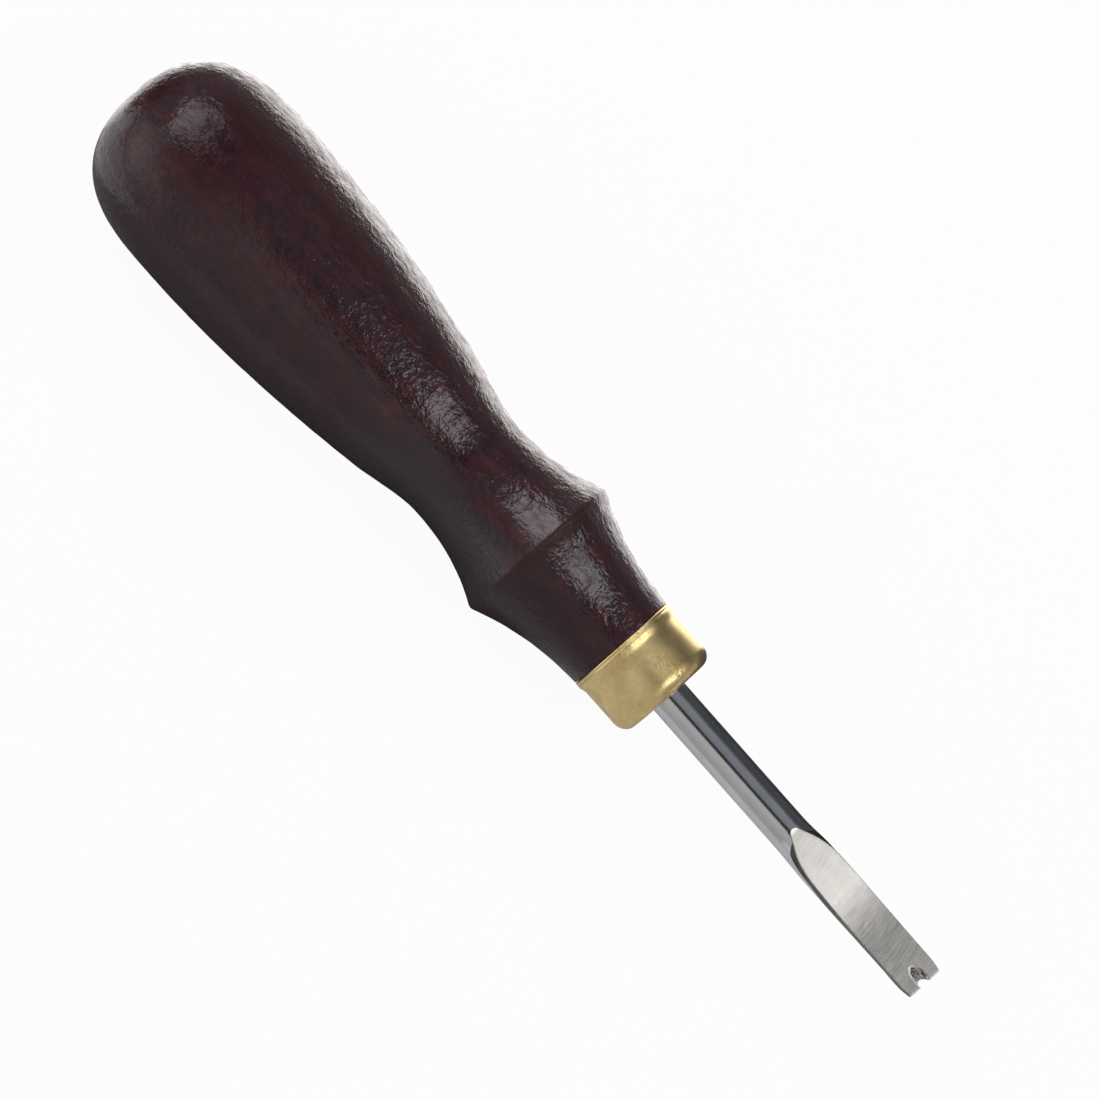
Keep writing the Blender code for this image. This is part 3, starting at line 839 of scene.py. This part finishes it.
def bar_ring(x, half_width, half_height, above, below, flat, sole):
    """Ring across the blade: flat, broken edge, straight wall, round side, broken edge and sole.

    Where there is no flat, wall or sole yet, its points fall together on the round."""
    flat_half = half_width * max(1.0 - (flat / half_height) ** above, 0.0) ** (1.0 / above)
    sole_half = half_width * max(1.0 - (sole / half_height) ** below, 0.0) ** (1.0 / below)
    flat_edge = min(FLAT_EDGE, EDGE_SHARE * flat_half)
    sole_edge = min(SOLE_EDGE, EDGE_SHARE * sole_half)
    wall_turn = math.atan2(flat_half, flat) + flat_edge / half_width
    last_turn = math.atan2(sole_half, sole) - sole_edge / half_width
    side_turn = min(wall_turn + wall_depth(x) / half_width, last_turn)
    wall_top = side_point(wall_turn, half_width, half_height, above, below)
    sides = []
    for i in range(SIDE_COLUMNS + 1):
        turn = side_turn + (last_turn - side_turn) * i / SIDE_COLUMNS
        sides.append(side_point(turn, half_width, half_height, above, below))
    flat_end = (flat_half - flat_edge, flat)
    sole_end = (sole_half - sole_edge, sole)
    half = [(flat_end[0] * i / FLAT_COLUMNS, flat) for i in range(FLAT_COLUMNS + 1)]
    half += soft_corner(flat_end, (flat_half, flat), wall_top)
    for i in range(WALL_COLUMNS):
        t = i / WALL_COLUMNS
        half.append(tuple(p + (q - p) * t for p, q in zip(wall_top, sides[0])))
    half += sides
    half += soft_corner(sides[-1], (sole_half, sole), sole_end)
    half += [(sole_end[0] * (1.0 - i / SOLE_COLUMNS), sole) for i in range(SOLE_COLUMNS + 1)]
    ring = half + [(-y, z) for y, z in reversed(half[1:-1])]
    return [(x, y, AXIS_HEIGHT + z) for y, z in ring]


def plain_ring(x, half_size, squareness):
    return bar_ring(x, half_size, half_size, squareness, squareness, half_size, -half_size)


def blade_strips():
    """Material index of each side of a ring: 1 on the ground flat, 2 on the walls, else 0."""
    half = [1] * (FLAT_COLUMNS + EDGE_COLUMNS) + [2] * WALL_COLUMNS
    half += [0] * (SIDE_COLUMNS + EDGE_COLUMNS + SOLE_COLUMNS)
    return half + half[::-1]


def make_notch_cutter(finish):
    """Round-floored groove with file marks, which dives from the flat and leaves by the sole."""
    rng = random.Random(NOTCH_SEED)
    reach = NOTCH_REACH * NOTCH_LENGTH
    start_x = TIP_X - NOTCH_LENGTH
    start_z = AXIS_HEIGHT + flat_height(start_x)
    up = Vector((math.sin(NOTCH_ANGLE), 0.0, math.cos(NOTCH_ANGLE)))
    run = Vector((math.cos(NOTCH_ANGLE), 0.0, -math.sin(NOTCH_ANGLE)))
    arc_steps = 36
    ring_count = 96
    marks = [rng.uniform(-FILE_MARK, FILE_MARK) for i in range(arc_steps + 1)]
    rings = []
    for k in range(ring_count + 1):
        origin = Vector((start_x, 0.0, start_z)) + run * reach * (2.0 * k / ring_count - 1.0)
        ring = []
        for i in range(arc_steps + 1):
            turn = math.pi * i / arc_steps
            stray = rng.uniform(-STRAY_MARKS, STRAY_MARKS) * FILE_MARK
            rough = math.sin(turn) * (LONG_MARKS * marks[i] + stray)
            radius = NOTCH_RADIUS - FILE_MARK + rough
            lift = NOTCH_RADIUS - radius * math.sin(turn)
            ring.append(origin + up * lift + Vector((0.0, -radius * math.cos(turn), 0.0)))
        for side in (1.0, -1.0):
            ring.append(origin + up * reach + Vector((0.0, side * NOTCH_RADIUS, 0.0)))
        rings.append(ring)
    cutter = loft("notch_cutter", rings)
    cutter.data.materials.append(finish)
    return cutter


def make_notch_break(finish):
    """Rounds the edge of the notch's mouth on the flat."""
    mouth = NOTCH_RADIUS / math.sin(NOTCH_ANGLE)
    centre_x = TIP_X - NOTCH_LENGTH + mouth
    arc_steps = 40
    round_steps = 5
    levels = []
    for i in range(round_steps + 1):
        turn = math.pi / 2 * i / round_steps
        levels.append((math.sin(turn) - 1.0, 1.0 - math.cos(turn)))
    levels.append((1.0, 1.0))
    rings = []
    for level, grow in levels:
        level, grow = level * NOTCH_BREAK, grow * NOTCH_BREAK
        ring = []
        for i in range(arc_steps + 1):
            turn = math.pi * i / arc_steps
            x = centre_x - (mouth + grow) * math.sin(turn)
            y = (NOTCH_RADIUS + grow) * math.cos(turn)
            ring.append((x, y, AXIS_HEIGHT + flat_height(x) + level))
        for side in (-1.0, 1.0):
            ring.append((TIP_X + mouth, side * (NOTCH_RADIUS + grow),
                         AXIS_HEIGHT + flat_height(TIP_X) + level))
        rings.append(ring)
    cutter = loft("notch_break", rings)
    cutter.data.materials.append(finish)
    return cutter


def make_blade(shank_finish, flat_finish, wall_finish, notch_finish, edge_finish):
    x_shoulder = FACE_X - SHANK_INSET
    rings = [
        plain_ring(TANG_X, TANG_POINT, SQUARE),
        plain_ring(TANG_X + TANG_POINT_LENGTH, TANG_END, SQUARE),
        plain_ring(x_shoulder - (SHANK_RADIUS - TANG_ROOT), TANG_ROOT, SQUARE),
        plain_ring(x_shoulder, SHANK_RADIUS, ROUND),
    ]
    first = TIP_X - FLAT_LENGTH
    toe = TIP_X - TOE_LENGTH
    last = TIP_X - TIP_CORNER
    shank_steps = 12
    stations = [x_shoulder + (first - x_shoulder) * i / shank_steps for i in range(1, shank_steps)]
    steps = math.ceil((toe - first) / BLADE_STEP)
    stations += [first + (toe - first) * i / steps for i in range(steps + 1)]
    toe_steps = 6
    stations += [toe + (last - toe) * i / toe_steps for i in range(1, toe_steps + 1)]
    corner_steps = 8
    for i in range(1, corner_steps + 1):
        stations.append(last + TIP_CORNER * math.sin(math.pi / 2 * i / corner_steps))
    for x in stations:
        rings.append(bar_ring(x, bar_half_width(x), SHANK_RADIUS, bar_squareness(x), ROUND,
                              flat_height(x), sole_height(x)))
    blade = loft("blade_bar", rings, blade_strips())
    for finish in (shank_finish, flat_finish, wall_finish, notch_finish, edge_finish):
        blade.data.materials.append(finish)
    cutters = (make_notch_cutter(notch_finish), make_notch_break(edge_finish))
    for cutter in cutters:
        cut(blade, cutter)
    blade = plain_mesh(blade, "blade_cut")
    for cutter in cutters:
        bpy.data.objects.remove(cutter, do_unlink=True)
    blade.data.shade_smooth()
    blade.data.set_sharp_from_angle(angle=SHARP_ANGLE)
    # Large flat faces keep their own direction beside the rounded edges.
    level = blade.modifiers.new("level", "WEIGHTED_NORMAL")
    level.keep_sharp = True
    level.weight = FLAT_FACE_WEIGHT
    return plain_mesh(blade, "blade_steel")


# Stage

FLOOR_SIZE = 6.0
CARD_HEIGHT = 0.001
PANEL_HEIGHT = 0.0013
LAMP_DISTANCE = 0.6
UPWARD = Vector((0.0, 0.0, 1.0))
WHITE = (1.0, 1.0, 1.0, 1.0)
WARM_WHITE = (1.0, 0.96, 0.94)
CARD_BLACK = 0.045


def plate(name, corners, mat):
    """A flat four-cornered stage piece."""
    mesh = bpy.data.meshes.new(name)
    mesh.from_pydata(corners, [], [(0, 1, 2, 3)])
    mesh.materials.append(mat)
    obj = link(bpy.data.objects.new(name, mesh))
    return obj


def background_share(tree, straight, mirrored):
    """Share of plain white on rays that show the background, straight or by way of a surface."""
    rays = tree.nodes.new("ShaderNodeLightPath").outputs
    bent = math_node(tree, "MAXIMUM", rays["Is Glossy Ray"], rays["Is Transmission Ray"])
    bent = math_node(tree, "MULTIPLY", bent, mirrored)
    return math_node(tree, "MULTIPLY_ADD", rays["Is Camera Ray"], straight, bent)


def white_paper():
    """Matt paper that shows white, and still takes a part of the object's shadow."""
    mat = bpy.data.materials.new("white_paper")
    mat.use_nodes = True
    tree = mat.node_tree
    tree.nodes.clear()
    fibre = noise(tree, tree.nodes.new("ShaderNodeTexCoord").outputs["Object"], (90.0, 90.0, 90.0))
    sheet = add_node(tree, "ShaderNodeBsdfDiffuse", {
        "Color": ramp(tree, fibre, (0.3, 0.65), (0.7, 0.67))})
    glow = add_node(tree, "ShaderNodeEmission", {"Color": WHITE, "Strength": 1.0})
    share = background_share(tree, 0.95, 0.12)
    shown = add_node(tree, "ShaderNodeMixShader", {
        0: share, 1: sheet.outputs[0], 2: glow.outputs[0]})
    add_node(tree, "ShaderNodeOutputMaterial", {"Surface": shown.outputs[0]})
    return mat


def dark_card(name, tone):
    mat = bpy.data.materials.new(name)
    mat.use_nodes = True
    shader = mat.node_tree.nodes["Principled BSDF"]
    shader.inputs["Base Color"].default_value = (tone, tone, tone, 1.0)
    shader.inputs["Roughness"].default_value = 1.0
    return mat


def shade_card():
    """Black card that thins out away from the handle, like the shade beside it."""
    mat = dark_card("shade_card", CARD_BLACK)
    tree = mat.node_tree
    place = tree.nodes.new("ShaderNodeTexCoord").outputs["Object"]
    parts = add_node(tree, "ShaderNodeSeparateXYZ", {0: place}).outputs
    share = product(tree, spread(tree, parts["Y"], -0.080, -0.012, 0.0, 1.0),
                    spread(tree, parts["X"], -0.105, -0.060, 0.0, 1.0),
                    spread(tree, parts["X"], 0.010, 0.020, 1.0, 0.0))
    clear = tree.nodes.new("ShaderNodeBsdfTransparent").outputs[0]
    shown = add_node(tree, "ShaderNodeMixShader", {
        0: share, 1: clear, 2: tree.nodes["Principled BSDF"].outputs[0]})
    tree.links.new(shown.outputs[0], tree.nodes["Material Output"].inputs["Surface"])
    return mat


def make_floor():
    half = FLOOR_SIZE / 2
    plate("floor", [(-half, -half, 0.0), (half, -half, 0.0), (half, half, 0.0), (-half, half, 0.0)],
          white_paper())


def make_cards():
    """Dark cards out of the picture, which the lacquer and the polished metal mirror."""
    card = dark_card("black_card", CARD_BLACK)
    # Over the tool, beside the camera: the dark line along the middle of the shank.
    distance = 0.45
    near, far = (distance * math.tan(math.radians(turn)) for turn in (-6.0, 11.0))
    centre = Vector((0.0, 0.0, AXIS_HEIGHT)) + TOWARD * distance
    corners = [centre + ALONG * x + ACROSS * across
               for x, across in ((-0.02, near), (0.25, near), (0.25, far), (-0.02, far))]
    cards = [plate("card_above", corners, card)]
    # On the floor: beside the handle on the near side, beyond the butt, and along the far side.
    for name, mat, x_from, x_to, y_from, y_to in (
            ("card_handle", shade_card(), -0.110, 0.022, -0.085, -0.006),
            ("card_butt", card, -0.500, -0.100, -0.004, 0.097),
            ("card_far", card, -0.500, 0.016, 0.097, FLOOR_SIZE / 2),
            ("card_ferrule", dark_card("grey_card", 0.28), 0.016, FACE_X, 0.066, FLOOR_SIZE / 2),
            ("card_shank", card, FACE_X, 0.088, 0.005, FLOOR_SIZE / 2)):
        cards.append(plate(name, [(x_from, y_from, CARD_HEIGHT), (x_to, y_from, CARD_HEIGHT),
                                  (x_to, y_to, CARD_HEIGHT), (x_from, y_to, CARD_HEIGHT)], mat))
    for obj in cards:
        obj.visible_camera = False
        obj.visible_diffuse = False
        obj.visible_shadow = False


def area_light(name, centre, facing, long_way, size, radiance, colour=(1.0, 1.0, 1.0)):
    """A flat lamp at a place, facing a direction, with its first side along long_way."""
    data = bpy.data.lights.new(name, "AREA")
    data.shape = "RECTANGLE"
    data.size, data.size_y = size
    data.energy = radiance * size[0] * size[1] * math.pi
    data.color = colour
    back = -facing.normalized()
    side = (long_way - back * long_way.dot(back)).normalized()
    turn = Matrix((side, back.cross(side), back)).transposed()
    obj = link(bpy.data.objects.new(name, data))
    obj.matrix_world = Matrix.Translation(centre) @ turn.to_4x4()
    obj.visible_camera = False


def make_lamps():
    # Softboxes by the station they are set for, and their turn toward the tip and across the tool
    # from the camera's direction.
    for name, station, along, across, size, radiance in (
            ("softbox_tip", 0.010, 29.5, 33.0, (0.232, 0.468), 3.7),
            ("softbox_butt", -0.008, -40.0, 33.0, (0.324, 0.468), 3.4)):
        along, across = math.radians(along), math.radians(across)
        direction = (ALONG * math.sin(along) + ACROSS * math.cos(along) * math.sin(across)
                     + TOWARD * math.cos(along) * math.cos(across))
        centre = Vector((station, 0.0, AXIS_HEIGHT)) + direction * LAMP_DISTANCE
        area_light(name, centre, -direction, ALONG, size, radiance)
    # A dim panel before the butt, for the soft sheen on its near side.
    area_light("sheen_panel", Vector((-0.128, -0.057, PANEL_HEIGHT)), UPWARD, ALONG,
               (0.090, 0.106), 1.0)
    # Low panels on the far side, for the bright rim along the handle and the ferrule.
    for name, x_from, x_to, y_from, y_to, radiance in (
            ("rim_panel_end", -0.096, -0.074, -0.004, 0.012, 1.9),
            ("rim_panel_butt", -0.096, -0.074, 0.012, 0.036, 3.6),
            ("rim_panel_near", -0.074, FACE_X, 0.012, 0.036, 1.95),
            ("rim_panel_far", -0.092, 0.014, 0.036, 0.095, 3.7),
            ("rim_panel_collar", 0.014, 0.026, 0.036, 0.064, 2.3),
            ("rim_panel_front", 0.090, 0.160, 0.010, 0.090, 1.6)):
        centre = Vector(((x_from + x_to) / 2, (y_from + y_to) / 2, PANEL_HEIGHT))
        area_light(name, centre, UPWARD, ALONG, (x_to - x_from, y_to - y_from), radiance,
                   WARM_WHITE)


def make_world():
    """The room that the metal mirrors: pale on the near side, dim and cool on the far side."""
    world = bpy.data.worlds.new("studio")
    world.use_nodes = True
    tree = world.node_tree
    tree.nodes.clear()
    direction = tree.nodes.new("ShaderNodeTexCoord").outputs["Generated"]
    parts = add_node(tree, "ShaderNodeSeparateXYZ", {0: direction}).outputs
    room = ramp(tree, spread(tree, parts["Y"], -1.0, 1.0, 0.0, 1.0),
                (0.0, (0.47, 0.47, 0.47)), (0.20, (0.61, 0.60, 0.59)), (0.36, (0.58, 0.57, 0.56)),
                (0.50, (0.23, 0.24, 0.26)), (0.80, (0.29, 0.305, 0.34)),
                (0.91, (0.085, 0.088, 0.095)))
    butt_end = spread(tree, parts["X"], -1.0, -0.25, 1.75, 1.0)
    # Brightest beside the butt, for the sheen round its near side.
    beside = add_node(tree, "ShaderNodeVectorMath", {0: direction, 1: (-0.67, -0.74, 0.10)},
                      operation="DOT_PRODUCT").outputs["Value"]
    level = product(tree, butt_end, spread(tree, beside, 0.76, 1.0, 1.0, 2.3))
    dim = add_node(tree, "ShaderNodeBackground", {"Color": room, "Strength": level})
    white = add_node(tree, "ShaderNodeBackground", {"Color": WHITE, "Strength": 1.0})
    rays = tree.nodes.new("ShaderNodeLightPath").outputs
    straight = math_node(tree, "MAXIMUM", rays["Is Camera Ray"], rays["Is Transmission Ray"])
    shown = add_node(tree, "ShaderNodeMixShader", {
        0: straight, 1: dim.outputs[0], 2: white.outputs[0]})
    add_node(tree, "ShaderNodeOutputWorld", {"Surface": shown.outputs[0]})
    bpy.context.scene.world = world


def make_camera():
    data = bpy.data.cameras.new("camera")
    data.lens = LENS
    data.sensor_width = SENSOR
    right = ALONG * math.cos(TOOL_SLANT) + ACROSS * math.sin(TOOL_SLANT)
    up = ACROSS * math.cos(TOOL_SLANT) - ALONG * math.sin(TOOL_SLANT)
    centre = Vector((VIEW_CENTRE_X, 0.0, AXIS_HEIGHT)) + ACROSS * VIEW_CENTRE_ACROSS
    distance = VIEW_WIDTH * LENS / SENSOR
    camera = link(bpy.data.objects.new("camera", data))
    turn = Matrix((right, up, TOWARD)).transposed()
    camera.matrix_world = Matrix.Translation(centre + TOWARD * distance) @ turn.to_4x4()
    bpy.context.scene.camera = camera


def main():
    bpy.context.scene.view_settings.view_transform = "Standard"
    make_camera()
    make_floor()
    make_cards()
    make_lamps()
    make_world()
    tree = turning_tree()
    handle = make_handle(tree, lacquered_hardwood())
    ferrule = make_ferrule(tree, satin_brass())
    blade = make_blade(polished_steel(), ground_steel(), dark_wall_steel(), filed_steel(),
                       edge_steel_painted_highlight())
    for piece, node, slot in ((handle, "handle", "wood"), (ferrule, "ferrule", "brass"),
                              (blade, "blade", "steel")):
        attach(piece, "root")
        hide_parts(node)


main()
